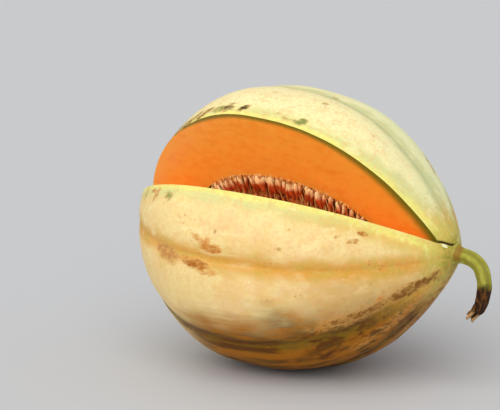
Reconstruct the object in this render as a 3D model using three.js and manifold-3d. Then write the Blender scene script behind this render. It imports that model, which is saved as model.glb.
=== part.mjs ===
// A ribbed, oblong cantaloupe lying on its side, with one wedge cut out along its length.
// Millimetres, +Z up. The long axis runs along X, with the stem towards +X and a little lower.
// The origin is the centre of the small flat spot that the melon rests on.
// Angles about the long axis start at the front, -Y, and go up over the top.
import * as THREE from 'three';
import { mergeVertices } from 'three/addons/utils/BufferGeometryUtils.js';
import Module from 'manifold-3d';

const wasm = await Module();
wasm.setup();

// Rind: each end narrows from the widest station by a pair of exponents, early and late
const GIRTH_RADIUS = 72.5;
const BLOSSOM_END = { length: 75.8, early: 2.03, late: 1.61 };
const STEM_END = { length: 104, early: 2.53, late: 1.09 };
const STEM_END_RISE = 4;
const STEM_SEAT = 101;
const GROOVE_ANGLES = [-79.5, -44, -3.5, 23, 60.5, 93.5, 131, 168.5, 206, 243.5];
const GROOVE_DEPTH = 0.036;
const RIB_ROUNDNESS = 0.7;
const STATIONS = 30;
const STEPS_PER_RIB = 7;

// Pose: how far the stem end dips, and where the widest station stands over the resting spot
const DIP = THREE.MathUtils.degToRad(4.1);
const CENTRE = new THREE.Vector3(-7, -3.3, 71.5);

// Wedge: two flat cuts that meet along a root line near the axis
const LOWER_CUT = 23.3;
const UPPER_CUT = 63.8;
const ROOT_START = new THREE.Vector3(-75.8, -3.8, -0.1);
const ROOT_END = new THREE.Vector3(104, -11.3, 10.3);
const BEYOND = 150;

// Seed cavity, and the gap that neighbours keep
const CAVITY = { middle: 8, radius: 34.6, toBlossom: 54, toStem: 60 };
const CAVITY_STATIONS = 16;
const CAVITY_STEPS = 24;
const GAP = 0.3;
const WALL_SEARCH = 0.001;
const POINTED = 0.01;

// Seeds: one row stands in a ledge of the pulp along each cut
const SEEDS_PER_CUT = 28;
const SEED = { length: 10.5, width: 4.4, thickness: 1.6, taper: 0.42 };
const SEED_ROW = { start: 42, end: 133 };
const SEED_TIP_GAP = 0.7;
const SEED_ROOT_SPACE = 1.2;
const SEED_FAN = 0.6;
const SEED_SWAY = THREE.MathUtils.degToRad(3);
const LEDGE_MARGIN = 0.5;
const LEDGE_ENDS = 3;
const LEDGE_DEPTH = SEED.width + 3 * GAP;

// Stem: its middle line in the upright plane through the axis, its radius and its flared foot
const STEM_POINTS = [[101.3, 3.6], [108.5, 3], [114.6, -0.3], [117.7, -8.5], [116.8, -18.4], [110.6, -27.4]];
const STEM_RADIUS = 3.7;
const STEM_FOOT_RADIUS = 6.2;
const STEM_FOOT_SHARE = 0.16;
const STEM_TIP_TAPER = 0.3;
const STEM_RIDGES = 5;
const STEM_RIDGE_HEIGHT = 0.07;
const STEM_SIDES = 20;
const STEM_STEPS = 20;

const materials = {
	rind: new THREE.MeshStandardMaterial({ color: '#ead79c', roughness: 0.55, metalness: 0 }),
	pulp: new THREE.MeshStandardMaterial({ color: '#c4521a', roughness: 0.3, metalness: 0 }),
	seed: new THREE.MeshStandardMaterial({ color: '#f0c090', roughness: 0.35, metalness: 0 }),
	stem: new THREE.MeshStandardMaterial({ color: '#94a043', roughness: 0.7, metalness: 0 }),
};

// Closed geometry: shared corners merged, and the collapsed triangles at the poles left out
function weld(geometry) {
	geometry.deleteAttribute('normal');
	geometry.deleteAttribute('uv');
	const welded = mergeVertices(geometry);
	const corners = Array.from(welded.index.array);
	const kept = [];
	for (let i = 0; i < corners.length; i += 3) {
		const [a, b, c] = corners.slice(i, i + 3);
		if (a !== b && b !== c && c !== a) kept.push(a, b, c);
	}
	welded.setIndex(kept);
	return welded;
}

function toSolid(geometry) {
	const welded = weld(geometry);
	return new wasm.Manifold(new wasm.Mesh({
		numProp: 3,
		vertProperties: new Float32Array(welded.attributes.position.array),
		triVerts: new Uint32Array(welded.index.array),
	}));
}

function toGeometry(solid) {
	const mesh = solid.getMesh();
	const geometry = new THREE.BufferGeometry();
	geometry.setAttribute('position', new THREE.BufferAttribute(mesh.vertProperties, mesh.numProp));
	geometry.setIndex(new THREE.BufferAttribute(mesh.triVerts, 1));
	return geometry;
}

function moveVertices(geometry, place) {
	const position = geometry.attributes.position;
	const point = new THREE.Vector3();
	for (let i = 0; i < position.count; i += 1) {
		place(point.fromBufferAttribute(position, i));
		position.setXYZ(i, point.x, point.y, point.z);
	}
	return geometry;
}

// A closed surface of revolution about Y, with stations crowded towards its two ends
function spindle(start, end, radiusAt, stations, steps) {
	const profile = [];
	for (let i = 0; i <= stations; i += 1) {
		const along = THREE.MathUtils.lerp(start, end, (1 - Math.cos(Math.PI * i / stations)) / 2);
		profile.push(new THREE.Vector2(radiusAt(along), along));
	}
	profile[0].x = 0;
	if (radiusAt(end) > POINTED) profile.push(new THREE.Vector2(0, end));
	profile[profile.length - 1].x = 0;
	return weld(new THREE.LatheGeometry(profile, steps));
}

function rindRadius(x) {
	const shape = x < 0 ? BLOSSOM_END : STEM_END;
	const share = Math.min(Math.abs(x) / shape.length, 1);
	return GIRTH_RADIUS * (1 - share ** shape.early) ** (1 / shape.late);
}

function cavityRadius(x) {
	const reach = x < CAVITY.middle ? CAVITY.toBlossom : CAVITY.toStem;
	const share = Math.min(Math.abs(x - CAVITY.middle) / reach, 1);
	return CAVITY.radius * Math.sqrt(1 - share ** 2);
}

// Turns count ribs from the first groove, so a whole number is a groove
function ribAngle(turns) {
	const count = GROOVE_ANGLES.length;
	const rib = Math.floor(turns) % count;
	const from = GROOVE_ANGLES[rib];
	const to = rib + 1 < count ? GROOVE_ANGLES[rib + 1] : GROOVE_ANGLES[0] + 360;
	return THREE.MathUtils.degToRad(THREE.MathUtils.lerp(from, to, turns % 1));
}

function ribHeight(turns) {
	const share = turns % 1;
	const crown = Math.max(4 * share * (1 - share), 0) ** RIB_ROUNDNESS;
	return 1 - GROOVE_DEPTH * (1 - crown);
}

function ribbedRind() {
	const steps = GROOVE_ANGLES.length * STEPS_PER_RIB;
	const plain = spindle(-BLOSSOM_END.length, STEM_SEAT, rindRadius, STATIONS, steps);
	return moveVertices(plain, (point) => {
		const radius = Math.hypot(point.x, point.z);
		const step = Math.round(steps - steps * Math.atan2(point.x, point.z) / (2 * Math.PI));
		const turns = (step % steps) / STEPS_PER_RIB;
		const ribbed = radius * ribHeight(turns);
		const along = point.y;
		const rise = STEM_END_RISE * (Math.max(along, 0) / STEM_END.length) ** 4;
		const angle = ribAngle(turns);
		point.set(along, -ribbed * Math.cos(angle), ribbed * Math.sin(angle) + rise);
	});
}

// The cavity's surface, with its axis along X
function cavityShape() {
	const start = CAVITY.middle - CAVITY.toBlossom;
	const end = CAVITY.middle + CAVITY.toStem;
	const shape = spindle(start, end, cavityRadius, CAVITY_STATIONS, CAVITY_STEPS);
	return shape.rotateZ(-Math.PI / 2);
}

// The same surface shrunk about its middle, so that what fills the cavity keeps the gap
function cavityFilling() {
	const share = 1 - GAP / CAVITY.radius;
	const filling = cavityShape().translate(-CAVITY.middle, 0, 0);
	return filling.scale(share, share, share).translate(CAVITY.middle, 0, 0);
}

function outwardAt(degrees) {
	const angle = THREE.MathUtils.degToRad(degrees);
	return new THREE.Vector3(0, -Math.cos(angle), Math.sin(angle));
}

// The removed wedge: a triangle pushed along the root line
function wedge() {
	const lower = outwardAt(LOWER_CUT).multiplyScalar(BEYOND);
	const upper = outwardAt(UPPER_CUT).multiplyScalar(BEYOND);
	const triangle = new THREE.Shape();
	triangle.moveTo(0, 0);
	triangle.lineTo(upper.y, upper.z);
	triangle.lineTo(lower.y, lower.z);
	const depth = ROOT_END.x - ROOT_START.x;
	const geometry = new THREE.ExtrudeGeometry(triangle, { depth, bevelEnabled: false });
	const slant = ROOT_END.clone().sub(ROOT_START).divideScalar(depth);
	const across = new THREE.Vector3(0, 1, 0);
	const up = new THREE.Vector3(0, 0, 1);
	return geometry.applyMatrix4(new THREE.Matrix4().makeBasis(across, up, slant).setPosition(ROOT_START));
}

// A cut's own frame: X along the root line, Y outwards in the cut, Z square to it, with the
// flesh on one side
function cutFrame(degrees, fleshSide) {
	const along = ROOT_END.clone().sub(ROOT_START).normalize();
	const square = along.clone().cross(outwardAt(degrees)).normalize();
	const outward = square.clone().cross(along);
	const matrix = new THREE.Matrix4().makeBasis(along, outward, square).setPosition(ROOT_START);
	return { matrix, fleshSide };
}

// How far the cavity's wall stands from the root line, in a cut
function wallDistance(cut, along) {
	let inside = 0;
	let outside = GIRTH_RADIUS;
	while (outside - inside > WALL_SEARCH) {
		const middle = (inside + outside) / 2;
		const point = new THREE.Vector3(along, middle, 0).applyMatrix4(cut.matrix);
		if (Math.hypot(point.y, point.z) < cavityRadius(point.x)) inside = middle;
		else outside = middle;
	}
	return inside;
}

// Where each seed of a cut stands: its broad tip near the wall, and how it leans like a fan
function seedPlaces(cut) {
	const places = [];
	for (let i = 0; i < SEEDS_PER_CUT; i += 1) {
		const along = THREE.MathUtils.lerp(SEED_ROW.start, SEED_ROW.end, i / (SEEDS_PER_CUT - 1));
		const wall = wallDistance(cut, along);
		const slope = (wallDistance(cut, along + 1) - wallDistance(cut, along - 1)) / 2;
		const lean = SEED_FAN * Math.atan(slope) + SEED_SWAY * Math.cos(Math.PI * i);
		const tip = wall - SEED_TIP_GAP;
		const size = Math.min(1, (tip - SEED_ROOT_SPACE) / SEED.length);
		const length = SEED.length * size;
		const foot = [along + length * Math.sin(lean), tip - length * Math.cos(lean)];
		places.push({ along, tip, lean, size, foot });
	}
	return places;
}

// The ledge along a cut in which the seeds stand
function ledge(cut) {
	const start = SEED_ROW.start - LEDGE_ENDS;
	const end = SEED_ROW.end + LEDGE_ENDS;
	const feet = seedPlaces(cut).map(({ foot }) => new THREE.Vector2(foot[0], foot[1] - LEDGE_MARGIN));
	const outline = new THREE.Shape();
	outline.moveTo(end, GIRTH_RADIUS);
	outline.lineTo(start, GIRTH_RADIUS);
	outline.lineTo(start, feet[0].y);
	feet.forEach(({ x, y }) => outline.lineTo(x, y));
	outline.lineTo(end, feet[SEEDS_PER_CUT - 1].y);
	const depth = GAP + LEDGE_DEPTH;
	const geometry = new THREE.ExtrudeGeometry(outline, { depth, bevelEnabled: false });
	geometry.translate(0, 0, cut.fleshSide > 0 ? -GAP : -LEDGE_DEPTH);
	return geometry.applyMatrix4(cut.matrix);
}

// A flat teardrop with its broad end at the origin and its narrow end towards -Y
function seedShape() {
	const shape = weld(new THREE.SphereGeometry(0.5, 8, 5));
	return moveVertices(shape, (point) => {
		const narrowing = 1 - SEED.taper * (0.5 - point.y);
		point.x *= SEED.thickness * narrowing;
		point.z *= SEED.width * narrowing;
		point.y = (point.y - 0.5) * SEED.length;
	});
}

function seedRow(label, cut, shape) {
	const row = new THREE.Group();
	row.applyMatrix4(cut.matrix);
	seedPlaces(cut).forEach(({ along, tip, lean, size }, i) => {
		const seed = namedMesh(`${label}_seed_${String(i + 1).padStart(2, '0')}`, shape, materials.seed);
		seed.position.set(along, tip, cut.fleshSide * (GAP + SEED.width / 2));
		seed.rotation.z = lean;
		seed.scale.setScalar(size);
		row.add(seed);
	});
	return row;
}

// The stem: a capped cylinder bent along the middle line, ridged, and flared at its foot
function stemShape() {
	const corners = STEM_POINTS.map(([x, z]) => new THREE.Vector3(x, 0, z));
	const line = new THREE.CatmullRomCurve3(corners);
	const side = new THREE.Vector3(0, 1, 0);
	const straight = weld(new THREE.CylinderGeometry(1, 1, 1, STEM_SIDES, STEM_STEPS));
	return moveVertices(straight, (point) => {
		const share = THREE.MathUtils.clamp(point.y + 0.5, 0, 1);
		const middle = line.getPoint(share);
		const ahead = line.getTangent(share);
		if (share === 0) ahead.set(1, 0, 0);
		const up = ahead.clone().cross(side);
		const flare = (STEM_FOOT_RADIUS - STEM_RADIUS) * Math.max(1 - share / STEM_FOOT_SHARE, 0) ** 2;
		const taper = 1 - STEM_TIP_TAPER * share ** 4;
		const ridge = 1 + STEM_RIDGE_HEIGHT * Math.cos(STEM_RIDGES * Math.atan2(point.x, point.z));
		const radius = (STEM_RADIUS * taper + flare) * ridge;
		const across = point.x * radius;
		const lift = point.z * radius;
		point.copy(middle).addScaledVector(side, across).addScaledVector(up, -lift);
	});
}

function namedMesh(name, geometry, material) {
	const mesh = new THREE.Mesh(geometry, material);
	mesh.name = name;
	return mesh;
}

const melon = new THREE.Group();
melon.rotation.y = DIP;
melon.position.copy(CENTRE);
melon.updateMatrix();

const lowerCut = cutFrame(LOWER_CUT, 1);
const upperCut = cutFrame(UPPER_CUT, -1);
const removedWedge = toSolid(wedge());

// The ground under the resting spot, seen from the tilted melon
const ground = new THREE.BoxGeometry(4 * BEYOND, 4 * BEYOND, BEYOND);
ground.translate(0, 0, -BEYOND / 2);
ground.applyMatrix4(melon.matrix.clone().invert());

const body = toSolid(ribbedRind())
	.subtract(removedWedge)
	.subtract(toSolid(cavityShape()))
	.subtract(toSolid(ground));
const pulp = toSolid(cavityFilling())
	.subtract(removedWedge)
	.subtract(toSolid(ledge(lowerCut)))
	.subtract(toSolid(ledge(upperCut)));

melon.add(namedMesh('melon_body', toGeometry(body), materials.rind));
melon.add(namedMesh('seed_pulp', toGeometry(pulp), materials.pulp));
melon.add(namedMesh('stem', stemShape(), materials.stem));

const seed = seedShape();
melon.add(seedRow('upper', upperCut, seed));
melon.add(seedRow('lower', lowerCut, seed));

export default melon;
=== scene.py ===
"""Looks of a ribbed cantaloupe that lies on its side with one wedge cut out along its length.

The melon's own frame has X along its long axis, with the stem towards +X, and is in metres. Angles about
that axis start at the front, -Y, and go up over the top. The whole melon then dips towards its stem.
"""
import math
import random
from collections import namedtuple
from functools import partial

import bmesh
import bpy
from mathutils import Matrix, Vector, noise


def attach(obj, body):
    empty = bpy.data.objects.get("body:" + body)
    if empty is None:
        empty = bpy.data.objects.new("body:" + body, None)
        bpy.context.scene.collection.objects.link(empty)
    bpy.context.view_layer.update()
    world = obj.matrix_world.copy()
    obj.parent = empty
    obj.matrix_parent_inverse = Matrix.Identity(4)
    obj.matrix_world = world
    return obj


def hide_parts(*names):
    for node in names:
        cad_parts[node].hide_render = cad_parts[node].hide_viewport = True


bl_info = {
    "name": "Cut Cantaloupe",
    "version": (1, 0, 0),
    "blender": (4, 5, 0),
    "location": "3D View > Sidebar > Cantaloupe",
    "description": "A ribbed cantaloupe with a wedge cut out, its seeds and its stem",
    "category": "Object",
}

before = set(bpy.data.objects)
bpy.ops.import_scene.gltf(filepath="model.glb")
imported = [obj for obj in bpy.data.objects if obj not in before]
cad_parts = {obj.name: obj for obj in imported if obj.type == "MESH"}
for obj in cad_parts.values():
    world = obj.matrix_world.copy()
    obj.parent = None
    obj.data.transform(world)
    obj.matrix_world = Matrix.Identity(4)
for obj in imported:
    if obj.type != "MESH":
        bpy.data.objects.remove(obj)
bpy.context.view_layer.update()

MM = 0.001
FULL_TURN = 2 * math.pi

# The studio
STUDIO_CLOUDS = 0.6
FLOOR_REACH = 6
FLOOR_ROUGHNESS = 0.7
SENSOR_WIDTH = 36

# The melon's outer shape, as in the part's source
End = namedtuple("End", "length early late")
GIRTH_RADIUS = 72.5 * MM
BLOSSOM_END = End(75.8 * MM, 2.03, 1.61)
STEM_END = End(104 * MM, 2.53, 1.09)
STEM_END_RISE = 4 * MM
STEM_SEAT = 101 * MM
GROOVE_ANGLES = (-79.5, -44, -3.5, 23, 60.5, 93.5, 131, 168.5, 206, 243.5)
RIB_ROUNDNESS = 0.7
GROOVE_SOFTNESS = 0.12
DIP = math.radians(4.1)
CENTRE = Vector((-7, -3.3, 71.5)) * MM
POSE = Matrix.Translation(CENTRE) @ Matrix.Rotation(DIP, 4, "Y")

# The two cuts, the line where they meet, and the cavity
LOWER_CUT = 23.3
UPPER_CUT = 63.8
ROOT_START = Vector((-75.8, -3.8, -0.1)) * MM
ROOT_END = Vector((104, -11.3, 10.3)) * MM
CAVITY_MIDDLE = 8 * MM
CAVITY_RADIUS = 34.6 * MM
CAVITY_TO_BLOSSOM = 54 * MM
CAVITY_TO_STEM = 60 * MM
GAP = 0.3 * MM
HALVINGS = 32

# Unevenness of the rind, the cut faces and the cavity's wall
SWELL_SIZE = 26 * MM
RIPPLE_SIZE = 8 * MM
RIPPLE_SHARE = 0.3
EVEN_RADIUS = 20 * MM
CUT_WAVE_SIZE = 9 * MM
CUT_WAVE_HEIGHT = 0.25 * MM
CUT_FLAT_EDGE = 3 * MM
WALL_LUMP_SIZE = 6 * MM
WALL_RIPPLE_SIZE = 2.5 * MM
WALL_LUMP_HEIGHT = 0.4 * MM

# Fineness of the body's mesh
STATION_COUNT = 210
RIND_ROWS = 330
CUT_ROWS = 24
WALL_ROWS = 60
RIM_ROW = 0.001
CUT_EDGE_ROWS = (0.01, 0.985)
CLOSE_STATIONS = 0.1 * MM
SAME_PLACE = 0.01 * MM
FINEST_SAME_PLACE = 0.001 * MM

# Where the body's attributes begin and where they are full
# Width of the groove tint with its painted crease shade
GROOVE_WIDTH = 6.5 * MM
BLOSSOM_SCAR = (7.5 * MM, 5 * MM)
NECK = (84 * MM, STEM_SEAT)
FAR_FROM_RIM = 20 * MM
THINNEST_LAYER = 0.05 * MM
GREEN_LAYER_RISE = (-60 * MM, -20 * MM)
GREEN_LAYER_GROWTH = (20 * MM, 90 * MM)
CORE_DEPTH = 30 * MM
MARK_EDGE = (1.5, 0.5)

# The two rows of seeds
SEEDS_PER_CUT = 28
SEED_LENGTH = 10.5 * MM
SEED_WIDTH = 4.4 * MM
SEED_THICKNESS = 1.6 * MM
SEED_TAPER = 0.58
SEED_ROW = (42 * MM, 133 * MM)
SEED_TIP_GAP = 0.7 * MM
SEED_ROOT_SPACE = 1.2 * MM
SEED_FAN = 0.6
SEED_SWAY = math.radians(3)
SEED_KNOB_SIZE = 2.4 * MM
SEED_KNOB_HEIGHT = 0.45 * MM
SEED_PLUMPNESS = (1.1, 1.5)

# The visible seeds of each cut: how far in their tips stand, how far behind the cut they are in seed widths,
# and how far they sway and roll either way
Stand = namedtuple("Stand", "inset depth sway roll")
ROW_SEEDS = Stand((-1.4 * MM, 0.2 * MM), 0.1, 0.09, 0.5)
FILLING_SEEDS = Stand((-1.7 * MM, 1.3 * MM), (-0.25, 0.6), 0.3, 0.9)
LYING_SEEDS = Stand((1 * MM, 14 * MM), -0.06, 0.7, 0.5)
SEED_CHANCE = 4
LYING_SEED_ROOM = 2 * MM
FILLING_SEEDS_PER_CUT = 48
LYING_SEEDS_PER_CUT = 16

# The pulp's strings along X, around in radians and outwards, its lumps and the depth of its hollows
PULP_STRING = (1.7 * MM, 0.15, 12 * MM)
PULP_STRING_SHARE = 0.7
PULP_LUMP = 4 * MM
PULP_HOLLOW = 1.4 * MM

# Ranges of the wet fibres in millimetres: how far out their feet and tips are, how deep they stand, how far
# they lean and shift, and how far they bow along the cut and out of it
STANDING_FIBRE = {
    "foot": (2, 12), "deep": (-0.2, 4), "lean": (-1.5, 1.5), "tip": (2, 9), "shift": (-0.5, 0.5),
    "bow": (-0.9, 0.9), "rise": (-0.4, 0.4),
}
WALL_FIBRE = {"deep": (0, 2), "lean": (-1.5, 1.5), "tip": (1.5, 4), "bow": (-0.6, 0.6), "rise": (0, 0.6)}
LYING_FIBRE = {"lean": (-2, 2), "tip": (4, 9), "bow": (-1, 1), "rise": (0.8, 2)}
LYING_FIBRE_ROOM = 4 * MM
LYING_FIBRE_MARGIN = 2 * MM
FIBRE_CHANCE = 9

# How many fibres each cut has, how thick they are as shares of the fibre radius, and the shape of one
STANDING_FIBRES_PER_CUT = 150
WALL_FIBRES_PER_CUT = 220
LYING_FIBRES_PER_CUT = 60
FIBRE_THICKNESS = (0.7, 1.6)
WALL_FIBRE_THICKNESS = (1, 2)
FIBRE_RINGS = (0, 0.1, 0.35, 0.65, 0.9, 1)
FIBRE_SIDES = 5
FIBRE_TAPER = 0.6
FIBRE_END = 0.3
# Share of painted shade on one side of each fibre
FIBRE_SHADE = 0.25

# The stem's middle line in the upright plane, its radius and its foot
STEM_LINE = ((101.3, 3.6), (108.5, 3), (114.6, -0.3), (117.7, -8.5), (116.8, -18.4), (110.6, -27.4))
STEM_RADIUS = 3.7 * MM
STEM_FOOT_RADIUS = 5.4 * MM
STEM_FOOT_SHARE = 0.13
STEM_TIP_TAPER = 0.3
STEM_RINGS = 100
STEM_SIDES = 60
STEM_RIDGES = 5
STEM_RIDGE_HEIGHT = 0.04
STEM_SHRINKING = 0.05
STEM_SPLINTERS = 4
STEM_SPLINTER_LENGTH = 1.6 * MM
STEM_SPLIT = 0.5
STEM_HOLLOW = 3 * MM
ALMOST_AT_END = 0.98
STEM_KNOT_SIZE = 3 * MM
STEM_KNOTS = 0.05
STEM_WITHERED_KNOTS = 0.09

# Where along the stem it dries, withers and frays, as shares of its length
STEM_DRIED = (0.48, 0.74)
STEM_WITHERED = (0.64, 0.74)
STEM_FRAYED = (0.84, 0.96)
STEM_BRUISE = 0.06
STEM_BRUISE_EDGE = (0.096, 0.016)
STEM_BRUISE_TURN = math.radians(65)
STEM_BRUISE_SIDE = (-0.3, 0.7)
# Edges of the painted shade in the stem's furrows
VALLEY_EDGE = (0.4, -0.6)
FRINGE_PLACE = 7.7
FRINGE_FINENESS = 1.7
FRINGE_LOSS = 1.3
SPLINTER_TURN = 0.6
SPLINTER_EDGE = (-0.6875, 0.5625)

# The stem's first ring, which is hidden in the rind
HIDDEN_RING = -0.016
HIDDEN_DEPTH = 0.8 * MM
HIDDEN_FLARE = 0.2 * MM

# Marks on the rind: kind, station and angle of the middle, length, width, turn from the X direction, strength
Mark = namedtuple("Mark", "kind station angle length width turn strength")
MARKS = (
    Mark("dark", -15, 64.2, 6.6, 5.6, 20, 1),
    Mark("dark", -6, 64, 6.6, 3, 35, 1),
    Mark("green", -21.5, 63.4, 9, 4.6, 15, 0.9),
    Mark("brown", -30.5, 63.4, 10, 3.6, 35, 1),
    Mark("brown", -39.5, 62.6, 12, 3.6, 30, 1),
    Mark("brown", -49, 63, 11, 4, 30, 1),
    Mark("dark", -44, 60.5, 5, 3.4, 60, 1),
    Mark("dark", -54, 62, 5, 3.4, 60, 1),
    Mark("green", 27, 63.6, 5.6, 4.6, 50, 1),
    Mark("green", 21, 62.6, 10, 1.6, 0, 0.7),
    Mark("green", 13, 64, 5, 2, 30, 0.6),
    Mark("brown", 4, 88, 6, 2, 0, 0.9),
    Mark("rust", 2.5, 79, 7, 2, 10, 0.4),
    Mark("brown", 29, 80, 2.6, 1.7, 20, 0.9),
    Mark("green", 24, 94.5, 5, 2.4, 0, 0.9),
    Mark("brown", 74, 115, 11, 2.6, 0, 1),
    Mark("green", -49.5, 18.6, 7.5, 4, 80, 0.6),
    Mark("net", -37.5, 18.2, 8, 3.4, 60, 0.9),
    Mark("red", -41, 19.6, 4.4, 2.6, 0, 0.7),
    Mark("green", -26.5, 18.4, 6, 5.4, 70, 0.6),
    Mark("brown", -25.5, 10, 1.8, 1.6, 0, 0.6),
    Mark("brown", -12, 8.5, 1.8, 1.6, 0, 0.6),
    Mark("brown", 7.5, 8, 2, 1.8, 0, 0.8),
    Mark("brown", 40, 5.5, 2.6, 2, 0, 0.6),
    Mark("rust", 4.5, 2, 12, 6, -10, 1),
    Mark("red", 6, 1.6, 6, 2.6, -10, 0.9),
    Mark("rust", -3, 4.6, 11, 3.4, -25, 0.6),
    Mark("net", -23, -5.8, 19, 8.4, -8, 1),
    Mark("red", -5, -6.6, 18, 5, -6, 0.9),
    Mark("rust", 3, -8.6, 11, 4.4, -6, 0.9),
    Mark("brown", 89, -34.5, 19, 7, -8, 1),
    Mark("rust", 84, -31, 16, 8, -4, 0.45),
    Mark("brown", 77, -34, 15, 5, 6, 0.9),
    Mark("brown", 66, -34, 18, 5, 0, 0.75),
    Mark("rust", 62, -35, 26, 9, 0, 0.4),
    Mark("rust", 78, -3, 26, 3, 0, 0.35),
    Mark("brown", 80, -91, 44, 7, 0, 0.8),
    Mark("rust", 76, -60, 30, 9, 4, 0.35),
    Mark("red", 63, 15, 3, 2.2, 0, 0.6),
    Mark("red", 72, 19, 4, 2.4, 0, 0.8),
    Mark("red", 69.5, 14, 5, 2.4, 20, 0.6),
    Mark("pale", 98.9, 33, 1.8, 1.7, 0, 0.9),
    Mark("brown", -30, 150, 14, 4, 15, 0.8),
    Mark("rust", 35, 190, 16, 5, -20, 0.8),
    Mark("green", 5, 215, 8, 5, 30, 0.8),
    Mark("rust", -15, 250, 30, 14, 10, 0.6),
    Mark("red", 60, 155, 14, 3, 5, 0.8),
    Mark("dark", 50, 230, 5, 3, 40, 0.9),
    Mark("brown", -55, 200, 7, 3, 70, 0.8),
)
MARK_KINDS = ("green", "rust", "net", "red", "brown", "dark", "pale")

# The crack that runs on from the end of the wedge to the stem: station and angle of its bends
CRACK = ((95.5, 33), (98, 39.5), (100, 47), (101, 62))


def length(name, description, default, **limits):
    """A size that a user may change."""
    return bpy.props.FloatProperty(
        name=name, description=description, default=default, unit="LENGTH", precision=5, **limits
    )


def share(name, description, default, high=1.0):
    """A share that a user may change."""
    return bpy.props.FloatProperty(
        name=name, description=description, default=default, min=0, max=high, subtype="FACTOR"
    )


def position(name, description, default, subtype="TRANSLATION"):
    """A point or a direction that a user may change."""
    return bpy.props.FloatVectorProperty(name=name, description=description, default=default, subtype=subtype)


def colour(name, description, default):
    """A colour that a user may change, given as red, green and blue of 255."""
    linear = tuple(((level / 255 + 0.055) / 1.055) ** 2.4 for level in default)
    return bpy.props.FloatVectorProperty(
        name=name, description=description, default=linear, size=3, min=0, max=1, subtype="COLOR"
    )


class MelonSizes(bpy.types.PropertyGroup):
    """Sizes of the visible detail."""

    groove_depth: share("Groove depth", "Depth of the grooves, as a share of the radius", 0.041, high=0.1)
    lump_height: length("Lump height", "How far the rind swells and sinks", 0.0004)
    scar_height: length("Scar height", "How far corky scars stand up", 0.0002)
    crack_width: length("Crack width", "Width of the crack beside the stem", 0.0011)
    crack_depth: length("Crack depth", "Depth of the crack beside the stem", 0.0014)
    green_layer: length("Green layer", "Thickness of the green layer at mid-length", 0.0014)
    green_layer_at_stem: length("Green layer at stem", "Thickness of the green layer at the stem", 0.0029)
    pulp_cell: length("Pulp detail", "Size of the smallest lumps of the pulp", 0.0009)
    fibre_radius: length("Fibre radius", "Radius of the wet fibres", 0.0004)


class MelonColours(bpy.types.PropertyGroup):
    """Colours of the melon's finishes."""

    # Crown: the rind's pale tone on top, made lighter there as painted light from above
    crown: colour("Crown", "Rind on top, in the light", (252, 238, 176))
    flank: colour("Flank", "Rind on the sides", (246, 218, 150))
    golden: colour("Golden", "Golden patches of the rind", (236, 184, 104))
    # Belly and its dark streaks: the rind's own tan underneath, darkened as painted shade
    shaded_belly: colour("Belly", "Rind underneath", (172, 106, 16))
    belly_dark: colour("Belly streaks", "Dark streaks underneath", (98, 52, 8))
    belly_olive: colour("Belly stains", "Olive stains underneath", (120, 96, 24))
    blush: colour("Blush", "Warm patches in the rind", (246, 214, 166))
    # Groove colours: the rind's own groove tones with painted shade in the creases
    groove: colour("Groove", "Bottom of the grooves on the sides", (222, 152, 34))
    groove_top: colour("Top groove", "Bottom of the grooves on top", (200, 204, 144))
    # Shoulder: pale rind above the stem, also used as painted light on the far side
    shoulder: colour("Shoulder", "Pale rind above the stem", (240, 242, 184))
    # Rim: partly the colour of the rind's cut edge, partly a painted highlight along that edge
    rim: colour("Rim", "Rind beside the cuts", (248, 238, 128))
    rim_green: colour("Green beside rim", "Rind a little way from the cuts", (236, 230, 132))
    neck: colour("Neck", "Rind round the stem", (196, 188, 86))
    # Dark mark: dark bruises, and also the painted shade inside the crack beside the stem
    dark_mark: colour("Dark mark", "Dark bruises", (66, 48, 18))
    brown_mark: colour("Brown mark", "Dry bruises", (136, 86, 26))
    rust_mark: colour("Rust mark", "Rusty patches", (204, 118, 26))
    red_mark: colour("Red mark", "Corky scars", (172, 98, 22))
    net_mark: colour("Corky net", "Fine net of corky scars", (198, 138, 76))
    green_mark: colour("Green mark", "Green stains", (138, 144, 76))
    pale_mark: colour("Pale mark", "Torn tissue beside the crack", (250, 244, 192))
    flesh: colour("Flesh", "Ripe flesh", (254, 166, 52))
    flesh_deep: colour("Deep flesh", "Darker strands of the flesh", (249, 148, 36))
    flesh_core: colour("Flesh near cavity", "Softer flesh round the cavity", (253, 168, 62))
    green_layer: colour("Green layer", "Layer under the rind", (118, 112, 18))
    pulp: colour("Pulp", "Wet pulp in the cavity", (216, 118, 56))
    # Pulp shade: painted shade in the pulp's hollows
    pulp_shade: colour("Deep pulp", "Hollows of the pulp", (124, 32, 8))
    seed_tip: colour("Seed tip", "Broad end of a seed", (255, 212, 150))
    # Seed foot: amber pulp over the narrow end, darkened as painted shade
    shaded_seed_foot: colour("Seed foot", "Covered end of a seed", (202, 88, 34))
    fibre: colour("Fibre", "Wet fibres between the seeds", (240, 166, 92))
    stem_green: colour("Stem green", "Fresh part of the stem", (150, 146, 46))
    # Stem olive and shade: painted shade in the fresh stem's furrows, and the olive fibres of the collar
    stem_olive_and_shade: colour("Stem shade", "Furrows of the fresh part", (112, 104, 36))
    stem_brown: colour("Stem brown", "Dried part of the stem", (44, 22, 6))
    stem_straw: colour("Stem straw", "Split end of the stem", (196, 152, 98))


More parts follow.
